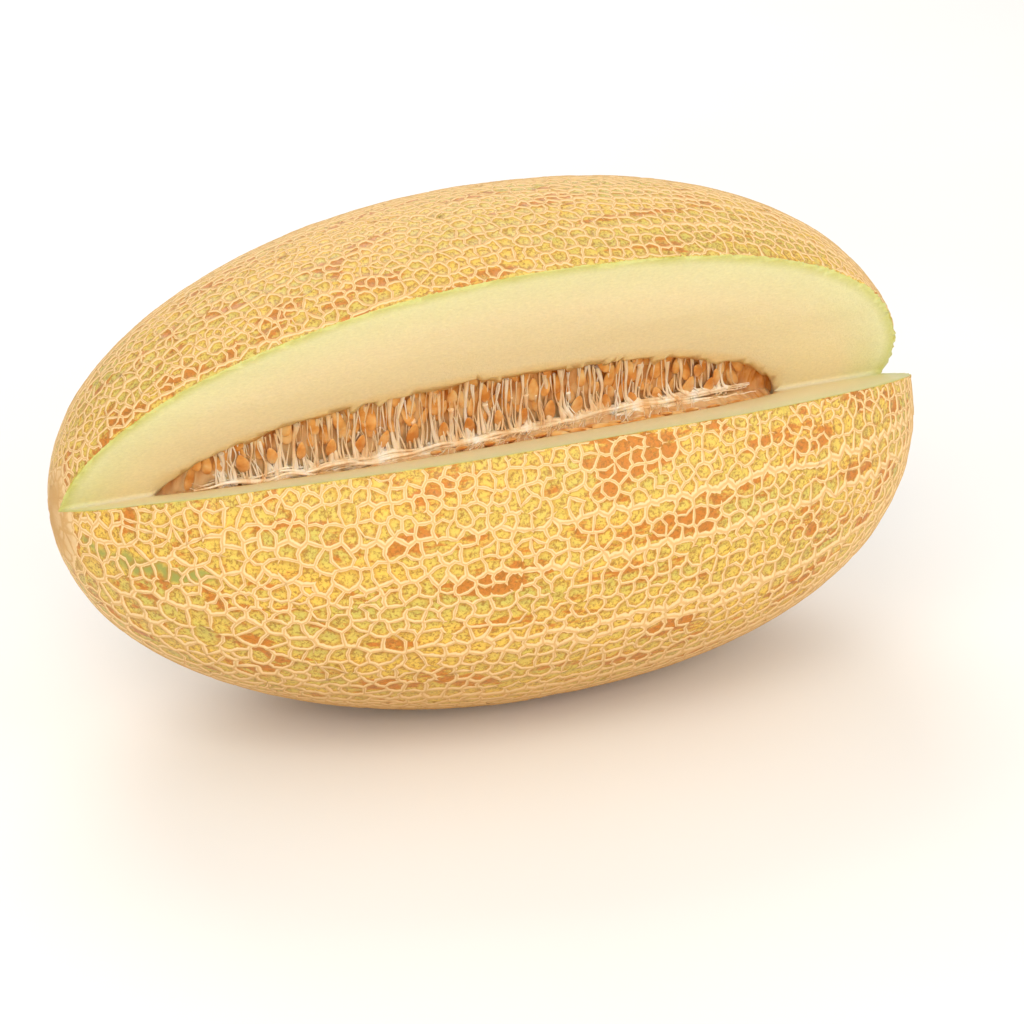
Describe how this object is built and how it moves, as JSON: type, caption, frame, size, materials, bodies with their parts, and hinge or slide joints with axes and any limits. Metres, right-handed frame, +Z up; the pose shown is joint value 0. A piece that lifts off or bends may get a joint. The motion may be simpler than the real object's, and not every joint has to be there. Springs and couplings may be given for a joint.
{
  "type": "cut netted melon",
  "caption": "Long netted melon lying on its side with a lengthwise wedge cut out, showing pale flesh, wet seed pulp, core strand and seeds.",
  "frame": {"origin": "the point on the floor under the melon's axis, on the small flat spot that it rests on, halfway along the melon", "axes": "+X along the melon towards its blunt dimpled end, -Y the side that the wedge is cut from, +Z up"},
  "size_m": [0.3577, 0.206, 0.204],
  "materials": {
    "rind_and_flesh": "golden skin under a raised tan cork net, cream flesh on the cut faces",
    "pulp": "wet orange-brown seed pulp",
    "strand": "pale wet fibre",
    "seed": "wet golden seed coat"
  },
  "bodies": {
    "root": {"melon": "rind_and_flesh", "pulp_upper": "pulp", "pulp_lower": "pulp", "core_strand": "strand", "seed_upper_01": "seed", "seed_upper_02": "seed", "seed_upper_03": "seed", "seed_upper_04": "seed", "seed_upper_05": "seed", "seed_upper_06": "seed", "seed_upper_07": "seed", "seed_upper_08": "seed", "seed_upper_09": "seed", "seed_upper_10": "seed", "seed_upper_11": "seed", "seed_upper_12": "seed", "seed_upper_13": "seed", "seed_upper_14": "seed", "seed_upper_15": "seed", "seed_upper_16": "seed", "seed_upper_17": "seed", "seed_upper_18": "seed", "seed_upper_19": "seed", "seed_upper_20": "seed", "seed_middle_01": "seed", "seed_middle_02": "seed", "seed_middle_03": "seed", "seed_middle_04": "seed", "seed_middle_05": "seed", "seed_middle_06": "seed", "seed_middle_07": "seed", "seed_middle_08": "seed", "seed_middle_09": "seed", "seed_middle_10": "seed", "seed_middle_11": "seed", "seed_middle_12": "seed", "seed_middle_13": "seed", "seed_middle_14": "seed", "seed_middle_15": "seed", "seed_middle_16": "seed", "seed_middle_17": "seed", "seed_middle_18": "seed", "seed_lower_01": "seed", "seed_lower_02": "seed", "seed_lower_03": "seed", "seed_lower_04": "seed", "seed_lower_05": "seed", "seed_lower_06": "seed", "seed_lower_07": "seed", "seed_lower_08": "seed", "seed_lower_09": "seed", "seed_lower_10": "seed", "seed_lower_11": "seed", "seed_lower_12": "seed", "seed_lower_13": "seed", "seed_lower_14": "seed"}
  },
  "joints": []
}
